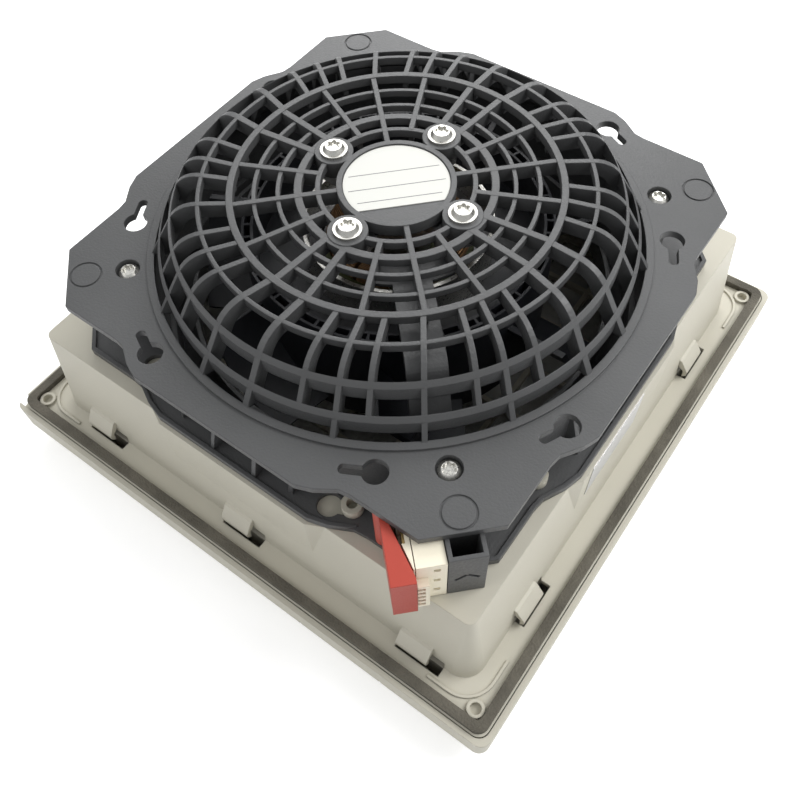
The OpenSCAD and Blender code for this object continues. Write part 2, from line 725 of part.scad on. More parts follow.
// Outer spoke, yawed about the strong ring
module outer_spoke(a, r1, t) {
  r0 = ring_r_shares[4] * dome_flat_r;
  rotate(a - pivot_lag) translate([r0, 0, 0]) rotate(-swirl) translate([-r0, 0, 0])
    spoke(0, r0 - rib_t / 2, r1, t);
}
module dome_ring(i) {
  r = ring_r_shares[i] * dome_flat_r;
  w = ring_width_shares[i] * rib_wide;
  translate([0, 0, plate_top]) rotate_extrude()
    dome_band(ring_sink_shares[i] * rib_h, ring_deep_share * rib_h, r - w / 2, r + w / 2);
}
module fan_guard() {
  ring_a = ring_r_shares[0] * dome_flat_r;
  ring_b = ring_r_shares[1] * dome_flat_r;
  ring_e = ring_r_shares[4] * dome_flat_r;
  ring_h2 = ring_r_shares[7] * dome_flat_r;
  color(black) {
    difference() {
      slab(plate_z, plate_top)
        lug_outline(plate_mid, plate_mid_half, lug_side, plate_neck, lug_cut);
      slab(plate_z - cut, plate_top + cut) {
        circle(plate_open_r);
        for (a = diagonals) polar(screw_pcr, a) circle(d = plate_hole_d);
        for (a = diagonals, k = [0, 1])
          keyhole(screw_pcr, a + guard_key_angs[k], guard_key_turns[k], keyhole_d, guard_slot);
      }
      slab(plate_top - emboss_deep, plate_top + cut) for (a = diagonals) polar(emboss_at, a)
        difference() { circle(d = emboss_d); circle(d = emboss_d - 2 * emboss_t); }
    }
    slab(plate_top - plate_t / 2, plate_top + foot_lip_h) difference() {
      circle(dome_foot_r + foot_lip_t / 2);
      circle(dome_foot_r - foot_lip_t);
    }
    difference() {
      union() {
        for (i = [0 : len(ring_r_shares) - 1]) dome_ring(i);
        for (q = quarters) {
          spoke(q + diag_ang, cap_d / 2 - cap_rim / 2, ring_e, rib_mid);
          for (s = sides) {
            spoke(q + s * inner_ang, ring_a, ring_e, rib_mid);
            spoke(q + s * main_ang, motor_pcr + boss_d / 4, ring_e, rib_wide);
            outer_spoke(q + s * main_out_ang, dome_foot_r, rib_wide);
            outer_spoke(q + s * foot_ang, dome_foot_r, rib_mid);
            for (m = mid_angs) outer_spoke(q + s * m, ring_h2, rib_mid);
          }
          outer_spoke(q + diag_ang, dome_foot_r, rib_mid);
          polar(motor_pcr, q) slab(flange_top, dome_top) circle(d = boss_d);
        }
        slab(dome_top - cap_h, dome_top) circle(d = cap_d);
      }
      for (q = quarters) polar(motor_pcr, q) slab(flange_top - cut, dome_top + cut)
        circle(d = motor_screw_d + 2 * fit);
      slab(dome_top - cap_sink, dome_top + cut) circle(d = cap_d - 2 * cap_rim);
    }
  }
}
module inlet_ring() {
  color(black) rotate_extrude() {
    translate([nozzle_r, carrier_z]) square([nozzle_t, throat_h]);
    translate([nozzle_skirt_r, carrier_z]) intersection() {
      difference() { circle(bell_r); circle(bell_r - nozzle_t); }
      translate([-bell_r, -bell_r]) square([bell_r, bell_r + fit]);
    }
    translate([nozzle_skirt_r - nozzle_t, carrier_z - bell_r])
      square([nozzle_t, bell_r + carrier_t]);
    translate([nozzle_skirt_r - nozzle_t, carrier_z])
      square([tube_in_r - fit - nozzle_skirt_r + nozzle_t, carrier_t]);
  }
}

module cable_duct() {
  o0 = rib_h + duct_gap;
  color(black) {
    rotate(duct_ang) translate([0, 0, plate_top]) rotate([90, 0, -duct_yaw / 2]) difference() {
      linear_extrude(duct_w, center = true) dome_band(o0, o0 + duct_h, duct_in_r, dome_foot_r);
      linear_extrude(duct_w - 2 * duct_t, center = true)
        dome_band(o0 + duct_t, o0 + duct_h + cut, duct_in_r - cut, dome_foot_r);
    }
    translate([0, 0, plate_top]) intersection() {
      rotate_extrude() dome_band(o0, o0 + duct_t, shelf_in_r, shelf_out_r);
      linear_extrude(dome_h) sector((shelf_in_r + shelf_out_r) / 2, 2 * (shelf_out_r - shelf_in_r),
        shelf_from, shelf_to);
    }
  }
}
// Round rod from point a to point b
module rod(a, b, d) {
  v = b - a;
  translate(a) rotate([0, acos(v[2] / norm(v)), atan2(v[1], v[0])]) cylinder(h = norm(v), d = d);
}
module motor_lead() {
  color([0.16, 0.16, 0.17]) {
    for (i = [0 : len(lead_pts) - 2]) rod(lead_pts[i], lead_pts[i + 1], lead_d);
    for (i = [1 : len(lead_pts) - 2]) translate(lead_pts[i]) sphere(d = lead_d + 2 * fit);
  }
}
module motor_flange() {
  color([0.62, 0.63, 0.65]) difference() {
    union() {
      slab(flange_top - flange_plate_t, flange_top) {
        circle(arm_hub_r);
        for (q = quarters) {
          rotate(q) translate([0, -arm_w / 2]) square([motor_pcr, arm_w]);
          polar(motor_pcr, q) circle(d = arm_w);
        }
      }
      slab(bear_low_z - tube_lip, flange_top) circle(bear_tube_r);
    }
    slab(bear_low_z - tube_lip - cut, flange_top + cut) circle(bore_r - tube_lip);
    slab(bear_low_z - tube_lip - cut, bear_low_z + bearing_w + spring_h) circle(bore_r + fit);
    slab(bear_up_z, flange_top + cut) circle(bore_r + fit);
    for (q = quarters) polar(motor_pcr, q)
      slab(flange_top - flange_plate_t - cut, flange_top + cut) circle(d = motor_screw_d + 2 * fit);
  }
}
module stator_core() {
  color([0.35, 0.36, 0.38]) slab(stack_z, stack_z + stack_h) difference() {
    circle(stator_r);
    circle(bear_tube_r + fit);
    for (i = [0 : coil_n - 1]) polar(stator_r, (i + 1 / 2) * 360 / coil_n)
      square([insul_t, coil_gap], center = true);
  }
}
module slot_insulators() {
  color([0.35, 0.45, 0.28]) for (z = [stack_z - insul_t, stack_z + stack_h]) slab(z, z + insul_t)
    difference() { circle(stator_r - insul_t); circle(bear_tube_r + fit); }
}
// Coil heads above or below the stack, rounded by a torus section and parted by slots
module coil_heads(z) {
  mid = (head_in_r + head_out_r) / 2;
  w = head_out_r - head_in_r;
  difference() {
    rotate_extrude() translate([mid, z]) intersection() {
      circle(w / 2);
      square([w, head_h], center = true);
    }
    for (i = [0 : coil_n - 1]) rotate(i * 360 / coil_n)
      translate([0, -coil_gap / 2, z - head_h]) cube([2 * head_out_r, coil_gap, 2 * head_h]);
  }
}
module stator_windings() {
  color([0.72, 0.42, 0.22]) {
    coil_heads(stack_z + stack_h + insul_t + head_h / 2);
    coil_heads(stack_z - insul_t - head_h / 2);
  }
}
module bearing(z) {
  seat = 1.6;
  color(steel) slab(z, z + bearing_w) difference() { circle(bore_r); circle(shaft_r + fit); }
}
module upper_bearing() { bearing(bear_up_z); }
module lower_bearing() { bearing(bear_low_z); }
module bearing_spring() {
  color(steel) slab(bear_low_z + bearing_w, bear_low_z + bearing_w + spring_h) difference() {
    circle(bore_r);
    circle(bore_r - spring_w);
  }
}
module rotor_can() {
  color(steel) difference() {
    union() {
      slab(can_z, rotor_z) circle(can_r);
      slab(rotor_z - 3 * can_t, rotor_z - 2 * can_t) circle(can_r);
    }
    slab(can_z + floor_t, rotor_z + cut) circle(can_r - can_t);
    slab(can_z - cut, rotor_z) circle(shaft_r);
  }
  color(steel) slab(can_z + floor_t / 2, can_z + floor_t + hub_h) difference() {
    circle(hub_r);
    circle(shaft_r);
  }
}
module rotor_cage() {
  color([0.45, 0.46, 0.48]) slab(stack_z - (cage_h - stack_h) / 2, stack_z + (cage_h + stack_h) / 2)
    difference() { circle(cage_r); circle(cage_in_r); }
}
module rotor_shaft() {
  color(steel) difference() {
    slab(can_z, shaft_top) circle(shaft_r);
    slab(bear_up_z + bearing_w + gap, bear_up_z + bearing_w + gap + clip_t) difference() {
      circle(shaft_r + cut);
      circle(shaft_r - clip_t / 2);
    }
  }
}
module shaft_circlip() {
  color(steel) slab(bear_up_z + bearing_w + gap, bear_up_z + bearing_w + gap + clip_t) difference() {
    circle(shaft_r + clip_w);
    circle(shaft_r - clip_t / 2);
    translate([0, -clip_t / 2]) square([shaft_d, clip_t]);
  }
}
// One blade: a curved plate that runs from hub to tip
module blade() {
  intersection() {
    translate([0, 0, (blade_z + blade_top) / 2]) rotate([0, 90, 0]) rotate(90)
      linear_extrude(fan_d / 2) translate([-blade_arc_r * cos(blade_mid), -blade_arc_r * sin(blade_mid)])
        sector(blade_arc_r, blade_t, blade_from, blade_to);
    slab(blade_z, blade_top) difference() {
      circle(fan_d / 2);
      circle(ring_r - ring_wall);
    }
  }
}
module impeller() {
  pocket_w = 2 * PI * (ring_r - ring_w / 2) / pocket_n - rung_t;
  color([0.16, 0.17, 0.18]) {
    difference() {
      slab(blade_z, rotor_z + ring_up) difference() {
        circle(ring_r);
        circle(ring_r - ring_w);
      }
      for (i = [0 : pocket_n - 1]) rotate((i + 1 / 2) * 360 / pocket_n)
        translate([ring_r - ring_w + ring_wall, -pocket_w / 2, rotor_z + ring_up - pocket_h])
          cube([ring_w - 2 * ring_wall, pocket_w, pocket_h + cut]);
    }
    slab(rotor_z - imp_floor_drop - imp_floor_t, rotor_z - imp_floor_drop) difference() {
      circle(ring_r - ring_w / 2);
      circle(can_r + fit);
    }
    slab(blade_z, rotor_z - imp_floor_drop) difference() {
      circle(can_r + fit + sleeve_t);
      circle(can_r + fit);
    }
    for (i = [0 : blade_n - 1]) rotate(i * 360 / blade_n) blade();
  }
}
module balance_clips() {
  color(steel) for (i = [0, 3]) rotate((i * 7 + 1 / 2) * 360 / pocket_n)
    translate([ring_r - ring_w + ring_wall + fit, -rung_t, rotor_z + ring_up - pocket_h])
      cube([ring_w - 2 * ring_wall - 2 * fit, 2 * rung_t, pocket_h - rung_t]);
}
// Star recess cut for a screw head
module star(z) {
  slab(z - star_deep, z + cut) {
    circle(star_r);
    for (i = [0 : 5]) polar(star_r, i * 60) circle(star_lobe, $fn = 24);
  }
}
module motor_screws() {
  color(steel) for (q = quarters) polar(motor_pcr, q) difference() {
    union() {
      slab(flange_top - flange_plate_t, dome_top + motor_head_rim) circle(d = motor_screw_d);
      slab(dome_top, dome_top + motor_head_rim) circle(d = motor_head_d);
      translate([0, 0, dome_top + motor_head_rim]) cylinder(h = motor_head_h - motor_head_rim,
        d1 = motor_head_d - 2 * motor_head_rim, d2 = motor_head_d - 4 * motor_head_rim);
    }
    star(dome_top + motor_head_h);
  }
}
module plate_screws() {
  color(steel) for (a = diagonals) polar(screw_pcr, a) difference() {
    union() {
      slab(plate_z - screw_len + cut, plate_z + plate_head_h / 2) circle(d = screw_d);
      slab(plate_z, plate_z + plate_head_h / 2) circle(d = plate_head_d);
      translate([0, 0, plate_z + plate_head_h / 2]) cylinder(h = plate_head_h / 2, d1 = plate_head_d,
        d2 = plate_head_d - plate_head_h);
    }
    star(plate_z + plate_head_h);
  }
}
module hub_label() {
  color([0.93, 0.93, 0.91]) slab(dome_top - cap_sink, dome_top - cap_sink + label_t2) intersection() {
    circle(d = cap_d - 2 * cap_rim - 2 * gap);
    rotate(near) translate([-cap_d, -cap_d]) square([cap_d + label_chord, 2 * cap_d]);
  }
}

conn_base = carrier_z + carrier_t;
pin_zs = [for (i = [0 : hole_n - 1]) conn_base + (conn_top - conn_base) * (i + 1 / 2) / hole_n];
// Flat contact blades that reach from the fixed half into the plug, grown by g
module contact_blades(g) {
  mid = (conn_right + plug_left) / 2;
  for (z = pin_zs) translate([conn_split - blade_in - g, mid - blade_w / 2 - g, z - blade_pin_t / 2 - g])
    cube([blade_in + blade_out + 2 * g, blade_w + 2 * g, blade_pin_t + 2 * g]);
}
module terminal_socket() {
  color([0.96, 0.94, 0.86]) at_near() difference() {
    slab(conn_base, conn_top) polygon([[conn_in, conn_right], [conn_split, conn_right],
      [conn_split, plug_left - gap], [conn_out, plug_left - gap], [conn_out, cheek_end],
      [conn_split, cheek_root], [conn_in + lever_eye_r + gap, cheek_root],
      [conn_in + lever_eye_r + gap, conn_left], [conn_in, conn_left]]);
    contact_blades(fit);
    translate([conn_split - slot_len / 2, cheek_root - cut, conn_top - slot_deep])
      cube([slot_len, slot_w + cut, slot_deep + cut]);
  }
}
module contact_clips() {
  color([0.72, 0.60, 0.30]) at_near() {
    contact_blades(0);
    translate([conn_split - slot_len / 2 + fit, cheek_root + slot_w - blade_pin_t - fit,
      conn_top - slot_deep]) cube([slot_len - 2 * fit, blade_pin_t, slot_deep - blade_pin_t]);
  }
}
module terminal_plug() {
  color([0.97, 0.95, 0.88]) at_near() difference() {
    union() {
      slab(conn_low, conn_top) polygon([[conn_split + gap, conn_right], [conn_out, conn_right],
        [conn_out, plug_left], [conn_split + gap, plug_left]]);
      for (i = [0 : comb_n - 1]) translate([conn_out - comb_t, plug_left, conn_low + i * comb_pitch])
        cube([comb_reach + comb_t, comb_w, comb_t]);
      translate([conn_out - comb_t, plug_left + comb_w - comb_t, conn_low])
        cube([comb_reach + comb_t, comb_t, (comb_n - 1) * comb_pitch + comb_t]);
    }
    contact_blades(gap);
    for (z = pin_zs) translate([conn_out - hole_w, conn_right - 2 * hole_w, z - hole_w / 2])
      cube([hole_w + cut, hole_w, hole_w]);
  }
}
module lever_pin() {
  color(steel) at_near() translate([lever_in, lever_pin_t, 0])
    slab(carrier_z, plate_z) circle(d = lever_pin_d);
}
module release_lever() {
  color([0.78, 0.27, 0.21]) at_near() difference() {
    union() {
      translate([lever_in, lever_pin_t, 0]) slab(lever_low, lever_top) circle(lever_eye_r);
      slab(lever_low, lever_top) polygon([[lever_in, lever_pin_t - lever_t / 2],
        [lever_out, lever_left], [lever_out, lever_right], [lever_out - lever_t, lever_right],
        [lever_in + lever_eye_r + gap, lever_pin_t + lever_t / 2],
        [lever_in, lever_pin_t + lever_t / 2]]);
    }
    translate([lever_in, lever_pin_t, 0]) slab(lever_low - cut, lever_top + cut)
      circle(d = lever_pin_d + 2 * fit);
  }
}

housing();
sealing_gasket();
filter_mat();
mat_grid();
type_label();
front_grille();
fan_carrier();
fan_guard();
inlet_ring();
cable_duct();
motor_lead();
motor_flange();
stator_core();
slot_insulators();
stator_windings();
upper_bearing();
lower_bearing();
bearing_spring();
motor_screws();
plate_screws();
hub_label();
terminal_socket();
contact_clips();
lever_pin();
impeller();
rotor_can();
rotor_cage();
rotor_shaft();
shaft_circlip();
balance_clips();
terminal_plug();
release_lever();
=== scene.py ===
"""Enclosure filter fan: finishes, soft pieces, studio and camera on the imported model."""

import json
import logging
import math
from dataclasses import dataclass, field
from enum import Enum

import bmesh
import bpy
from mathutils import Matrix, Vector


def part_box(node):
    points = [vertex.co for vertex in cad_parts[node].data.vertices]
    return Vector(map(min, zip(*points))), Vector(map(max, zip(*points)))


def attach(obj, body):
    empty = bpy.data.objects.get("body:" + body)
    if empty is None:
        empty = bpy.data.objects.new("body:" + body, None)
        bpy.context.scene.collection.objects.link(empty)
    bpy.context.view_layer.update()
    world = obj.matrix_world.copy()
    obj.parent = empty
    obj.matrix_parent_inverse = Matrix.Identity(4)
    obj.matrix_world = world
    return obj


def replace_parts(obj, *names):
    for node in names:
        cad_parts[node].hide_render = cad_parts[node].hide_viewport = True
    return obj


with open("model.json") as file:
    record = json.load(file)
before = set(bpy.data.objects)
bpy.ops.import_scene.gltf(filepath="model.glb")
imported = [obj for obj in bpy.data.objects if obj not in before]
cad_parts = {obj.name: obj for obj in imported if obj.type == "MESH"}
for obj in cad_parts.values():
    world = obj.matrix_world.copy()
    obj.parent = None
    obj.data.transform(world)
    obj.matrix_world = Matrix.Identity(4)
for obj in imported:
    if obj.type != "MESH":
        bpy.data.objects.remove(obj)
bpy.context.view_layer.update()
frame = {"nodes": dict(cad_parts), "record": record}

log = logging.getLogger("filter_fan")
MM = 0.001
BUMP_REACH = 0.4 * MM
RAMP_START = 0.3
RAMP_END = 0.7


class Grain(Enum):
    """How fine the surface grain of a moulded piece is, in noise scale per metre."""

    FINE = 2600.0
    SPARK = 1100.0
    COARSE = 620.0


def socket(node: bpy.types.Node, name: str) -> bpy.types.NodeSocket:
    """Return the input socket of a node by its name.

    Args:
        node: The shader node.
        name: The socket's name.

    Returns:
        The input socket.
    """
    return node.inputs[name]


def start_material(name: str) -> tuple[bpy.types.Material, bpy.types.NodeTree, bpy.types.Node]:
    """Make a node material with a principled shader.

    Args:
        name: The material's name.

    Returns:
        The material, its node tree and its shader node.
    """
    mat = bpy.data.materials.new(name)
    mat.use_nodes = True
    tree = mat.node_tree
    return mat, tree, tree.nodes["Principled BSDF"]


def object_noise(tree: bpy.types.NodeTree, scale: float, detail: float = 3.0) -> bpy.types.Node:
    """Add a noise texture on the piece's own object coordinates.

    Args:
        tree: The material's node tree.
        scale: Noise scale per metre.
        detail: Noise detail.

    Returns:
        The noise node.
    """
    coord = tree.nodes.new("ShaderNodeTexCoord")
    noise = tree.nodes.new("ShaderNodeTexNoise")
    socket(noise, "Scale").default_value = scale
    socket(noise, "Detail").default_value = detail
    tree.links.new(coord.outputs["Object"], socket(noise, "Vector"))
    return noise


def colour_span(tree: bpy.types.NodeTree, source: bpy.types.NodeSocket, low: tuple, high: tuple,
                start: float = RAMP_START, end: float = RAMP_END) -> bpy.types.NodeSocket:
    """Map a grey value to a span of colours.

    Args:
        tree: The material's node tree.
        source: The grey output that drives the span.
        low: Colour at the start.
        high: Colour at the end.
        start: Grey value of the low colour.
        end: Grey value of the high colour.

    Returns:
        The colour output.
    """
    ramp = tree.nodes.new("ShaderNodeValToRGB")
    ramp.color_ramp.elements[0].position = start
    ramp.color_ramp.elements[0].color = (*low, 1)
    ramp.color_ramp.elements[1].position = end
    ramp.color_ramp.elements[1].color = (*high, 1)
    tree.links.new(source, ramp.inputs[0])
    return ramp.outputs[0]


def value_span(tree: bpy.types.NodeTree, source: bpy.types.NodeSocket, low: float,
               high: float) -> bpy.types.NodeSocket:
    """Map a grey value to a span of numbers.

    Args:
        tree: The material's node tree.
        source: The grey output that drives the span.
        low: Number at the start of the span.
        high: Number at the end of the span.

    Returns:
        The value output.
    """
    span = tree.nodes.new("ShaderNodeMapRange")
    socket(span, "From Min").default_value = RAMP_START
    socket(span, "From Max").default_value = RAMP_END
    socket(span, "To Min").default_value = low
    socket(span, "To Max").default_value = high
    tree.links.new(source, socket(span, "Value"))
    return span.outputs["Result"]


def rounded_bump(tree: bpy.types.NodeTree, shader: bpy.types.Node, height: bpy.types.NodeSocket,
                 strength: float, edge: float) -> None:
    """Give a shader a bump and softly rounded edges.

    Args:
        tree: The material's node tree.
        shader: The principled shader.
        height: The grey output used as height.
        strength: Bump strength.
        edge: Radius of the rounded edges in metres.
    """
    bump = tree.nodes.new("ShaderNodeBump")
    socket(bump, "Strength").default_value = strength
    socket(bump, "Distance").default_value = BUMP_REACH
    tree.links.new(height, socket(bump, "Height"))
    if edge > 0:
        bevel = tree.nodes.new("ShaderNodeBevel")
        bevel.samples = 4
        socket(bevel, "Radius").default_value = edge
        tree.links.new(bevel.outputs["Normal"], socket(bump, "Normal"))
    tree.links.new(bump.outputs["Normal"], socket(shader, "Normal"))


@dataclass(frozen=True)
class Moulded:
    """Moulded plastic with grain, faint clouding and slightly varied gloss."""

    name: str
    colour: tuple[float, float, float]
    roughness: float = 0.5
    grain: Grain = Grain.FINE
    bump: float = 0.12
    cloud: float = 0.06
    edge: float = 0.0004

    def material(self) -> bpy.types.Material:
        """Build the node material.

        Returns:
            The material.
        """
        mat, tree, shader = start_material(self.name)
        cloud = object_noise(tree, 22.0, 4.0)
        low = tuple(c * (1 - self.cloud) for c in self.colour)
        high = tuple(min(1.0, c * (1 + self.cloud)) for c in self.colour)
        tree.links.new(colour_span(tree, cloud.outputs["Fac"], low, high),
                       socket(shader, "Base Color"))
        fine = object_noise(tree, self.grain.value, 2.0)
        rough = value_span(tree, fine.outputs["Fac"], self.roughness - 0.05, self.roughness + 0.08)
        tree.links.new(rough, socket(shader, "Roughness"))
        rounded_bump(tree, shader, fine.outputs["Fac"], self.bump, self.edge)
        return mat


@dataclass(frozen=True)
class Metal:
    """Bare metal with fine scratches and a faint patina."""

    name: str
    colour: tuple[float, float, float]
    roughness: float = 0.3
    stretch: float = 1.0
    edge: float = 0.0002
    bump: float = 0.02

    def material(self) -> bpy.types.Material:
        """Build the node material.

        Returns:
            The material.
        """
        mat, tree, shader = start_material(self.name)
        socket(shader, "Metallic").default_value = 1.0
        coord = tree.nodes.new("ShaderNodeTexCoord")
        mapping = tree.nodes.new("ShaderNodeMapping")
        socket(mapping, "Scale").default_value = (1, 1, self.stretch)
        tree.links.new(coord.outputs["Object"], socket(mapping, "Vector"))
        noise = tree.nodes.new("ShaderNodeTexNoise")
        socket(noise, "Scale").default_value = 900
        tree.links.new(mapping.outputs["Vector"], socket(noise, "Vector"))
        low = tuple(c * 0.92 for c in self.colour)
        tree.links.new(colour_span(tree, noise.outputs["Fac"], low, self.colour),
                       socket(shader, "Base Color"))
        tree.links.new(value_span(tree, noise.outputs["Fac"], self.roughness - 0.06,
                                  self.roughness + 0.1), socket(shader, "Roughness"))
        rounded_bump(tree, shader, noise.outputs["Fac"], self.bump, self.edge)
        return mat


@dataclass(frozen=True)
class Porous:
    """Foam or fibre with open pores."""

    name: str
    colour: tuple[float, float, float]
    pore: float = 900.0
    depth: float = 0.6

    def material(self) -> bpy.types.Material:
        """Build the node material.

        Returns:
            The material.
        """
        mat, tree, shader = start_material(self.name)
        coord = tree.nodes.new("ShaderNodeTexCoord")
        cells = tree.nodes.new("ShaderNodeTexVoronoi")
        socket(cells, "Scale").default_value = self.pore
        tree.links.new(coord.outputs["Object"], socket(cells, "Vector"))
        cloud = object_noise(tree, 60.0, 5.0)
        low = tuple(c * 0.72 for c in self.colour)
        high = tuple(min(1.0, c * 1.25) for c in self.colour)
        tree.links.new(colour_span(tree, cloud.outputs["Fac"], low, high),
                       socket(shader, "Base Color"))
        socket(shader, "Roughness").default_value = 0.95
        rounded_bump(tree, shader, cells.outputs["Distance"], self.depth, 0.0)
        return mat


@dataclass(frozen=True)
class Wound:
    """Enamelled wire laid in turns round the motor axis."""

    name: str
    colour: tuple[float, float, float]

    def material(self) -> bpy.types.Material:
        """Build the node material.

        Returns:
            The material.
        """
        mat, tree, shader = start_material(self.name)
        coord = tree.nodes.new("ShaderNodeTexCoord")
        wave = tree.nodes.new("ShaderNodeTexWave")
        wave.wave_type = "RINGS"
        wave.rings_direction = "Z"
        socket(wave, "Scale").default_value = 450
        socket(wave, "Distortion").default_value = 1.2
        tree.links.new(coord.outputs["Object"], socket(wave, "Vector"))
        low = tuple(c * 0.45 for c in self.colour)
        tree.links.new(colour_span(tree, wave.outputs["Fac"], low, self.colour, 0.1, 0.6),
                       socket(shader, "Base Color"))
        socket(shader, "Metallic").default_value = 0.6
        socket(shader, "Roughness").default_value = 0.35
        rounded_bump(tree, shader, wave.outputs["Fac"], 0.7, 0.0)
        return mat


FINISHES = {
    "housing_grey": Moulded(
        "light grey moulding", (0.54, 0.515, 0.43), 0.46, Grain.FINE, 0.05, 0.03, 0.0006),
    "foam": Porous("seal foam", (0.120, 0.110, 0.088), 1100.0, 0.9),
    "mat": Porous("filter fibre", (0.42, 0.42, 0.39), 320.0, 0.9),
    "silver_foil": Metal("silver label foil", (0.72, 0.72, 0.72), 0.42),
    "black_plastic": Moulded(
        "black moulding", (0.074, 0.075, 0.076), 0.42, Grain.SPARK, 0.25, 0.10, 0.0005),
    "impeller_black": Moulded(
        "impeller moulding", (0.012, 0.013, 0.016), 0.42, Grain.FINE, 0.08, 0.1, 0.0004),
    "lead_jacket": Moulded("lead jacket", (0.015, 0.015, 0.016), 0.4, Grain.COARSE, 0.1),
    "die_cast": Metal("die casting", (0.55, 0.55, 0.56), 0.5),
    "laminations": Metal("sheet stack", (0.28, 0.28, 0.29), 0.45, 8.0),
    "insulation": Moulded("slot insulation", (0.12, 0.14, 0.06), 0.5),
    "copper": Wound("enamelled copper", (0.34, 0.19, 0.09)),
    "white_label": Moulded("label film", (0.64, 0.64, 0.60), 0.55, Grain.FINE, 0.02, 0.02, 0.0),
    "connector_white": Moulded(
        "connector moulding", (0.88, 0.82, 0.66), 0.42, Grain.FINE, 0.05, 0.03, 0.0003),
    "contact_brass": Metal("contact brass", (0.62, 0.45, 0.20), 0.3),
    "red_plastic": Moulded(
        "red lever moulding", (0.42, 0.05, 0.030), 0.40, Grain.FINE, 0.05, 0.05, 0.0005),
    "zinc_steel": Metal("zinc plated steel", (0.66, 0.65, 0.61), 0.30),
    "rule_ink": Moulded("label rules", (0.16, 0.16, 0.17), 0.5, Grain.FINE, 0.0, 0.0, 0.0),
}


class Palette:
    """Keeps one material for each finish."""

    def __init__(self) -> None:
        """Start with no material made."""
        self.made: dict[str, bpy.types.Material] = {}

    def get(self, key: str) -> bpy.types.Material:
        """Return the material of a finish, made on first use.

        Args:
            key: The finish.

        Returns:
            The material.
        """
        if key not in self.made:
            self.made[key] = FINISHES[key].material()
        return self.made[key]

    def dress(self, obj: bpy.types.Object, key: str) -> None:
        """Put one finish on a whole piece.

        Args:
            obj: The piece.
            key: The finish.
        """
        obj.data.materials.clear()
        obj.data.materials.append(self.get(key))


def finished(name: str, mesh: bmesh.types.BMesh, body: str, key: str, palette: Palette,
             smooth: bool = True) -> bpy.types.Object:
    """Turn a bmesh into a dressed piece that rides on a body.

    Args:
        name: The piece's name.
        mesh: The finished bmesh, which is freed.
        body: The body it rides on.
        key: Its finish.
        palette: The materials.
        smooth: Whether faces are shaded smooth.

    Returns:
        The new object.
    """
    bmesh.ops.recalc_face_normals(mesh, faces=mesh.faces[:])
    data = bpy.data.meshes.new(name)
    for face in mesh.faces:
        face.smooth = smooth
    mesh.to_mesh(data)
    mesh.free()
    obj = bpy.data.objects.new(name, data)
    bpy.context.scene.collection.objects.link(obj)
    palette.dress(obj, key)
    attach(obj, body)
    return obj


def merged_copy(node: str) -> bmesh.types.BMesh:
    """Copy a CAD node into a bmesh with its loose triangles merged into faces.

    Args:
        node: The node's name.

    Returns:
        The bmesh.
    """
    mesh = bmesh.new()
    mesh.from_mesh(frame["nodes"][node].data)
    bmesh.ops.remove_doubles(mesh, verts=mesh.verts[:], dist=1e-6)
    bmesh.ops.dissolve_limit(mesh, angle_limit=math.radians(1), verts=mesh.verts[:],
                             edges=mesh.edges[:])
    return mesh


@dataclass
class SoftPieces:
    """The foam seal and the filter mat, which stand for their plain solids."""

    palette: Palette
    seal_round: float = 1.1 * MM
    mat_cells: int = 60
    mat_wave: float = 0.35 * MM
    mat_edge: float = 0.97
    mat_edge_drop: float = 1.2 * MM

    def seal(self) -> bpy.types.Object:
        """Build the foam seal with its crowned top.

        Returns:
            The seal.
        """
        mesh = merged_copy("sealing_gasket")
        top = max(v.co.z for v in mesh.verts)
        rim = [e for e in mesh.edges if all(abs(v.co.z - top) < 1e-6 for v in e.verts)
               and len(e.link_faces) == 2]
        bmesh.ops.bevel(mesh, geom=rim, offset=self.seal_round, offset_type="OFFSET", segments=4,
                        profile=0.5, affect="EDGES", material=-1, clamp_overlap=True)
        bmesh.ops.triangulate(mesh, faces=[f for f in mesh.faces if len(f.verts) > 4])
        obj = finished("foam_seal", mesh, "housing", "foam", self.palette)
        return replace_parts(obj, "sealing_gasket")

    def mat(self) -> bpy.types.Object:
        """Build the fibre mat with a slightly uneven skin.

        Returns:
            The mat.
        """
        low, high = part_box("filter_mat")
        mesh = bmesh.new()
        bmesh.ops.create_grid(mesh, x_segments=self.mat_cells, y_segments=self.mat_cells, size=0.5)
        made = bmesh.ops.extrude_face_region(mesh, geom=mesh.faces[:])
        up = [g for g in made["geom"] if isinstance(g, bmesh.types.BMVert)]
        bmesh.ops.translate(mesh, verts=up, vec=(0, 0, 1))
        size = high - low
        bmesh.ops.scale(mesh, verts=mesh.verts[:], vec=(size.x, size.y, size.z))
        bmesh.ops.translate(mesh, verts=mesh.verts[:],
                            vec=((low.x + high.x) / 2, (low.y + high.y) / 2, low.z))
        middle = (low.z + high.z) / 2
        for v in mesh.verts:
            wave = math.sin(v.co.x * 410) * math.cos(v.co.y * 370)
            wave += math.sin(v.co.x * 170 + v.co.y * 230)
            inward = self.mat_wave * (1 + 0.5 * wave)
            edge = max(abs(v.co.x) / high.x, abs(v.co.y) / high.y)
            inward += self.mat_edge_drop * max(0.0, edge - self.mat_edge) / (1 - self.mat_edge)
            v.co.z += inward if v.co.z < middle else -inward
        obj = finished("fibre_mat", mesh, "housing", "mat", self.palette)
        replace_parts(obj, "filter_mat")
        return obj


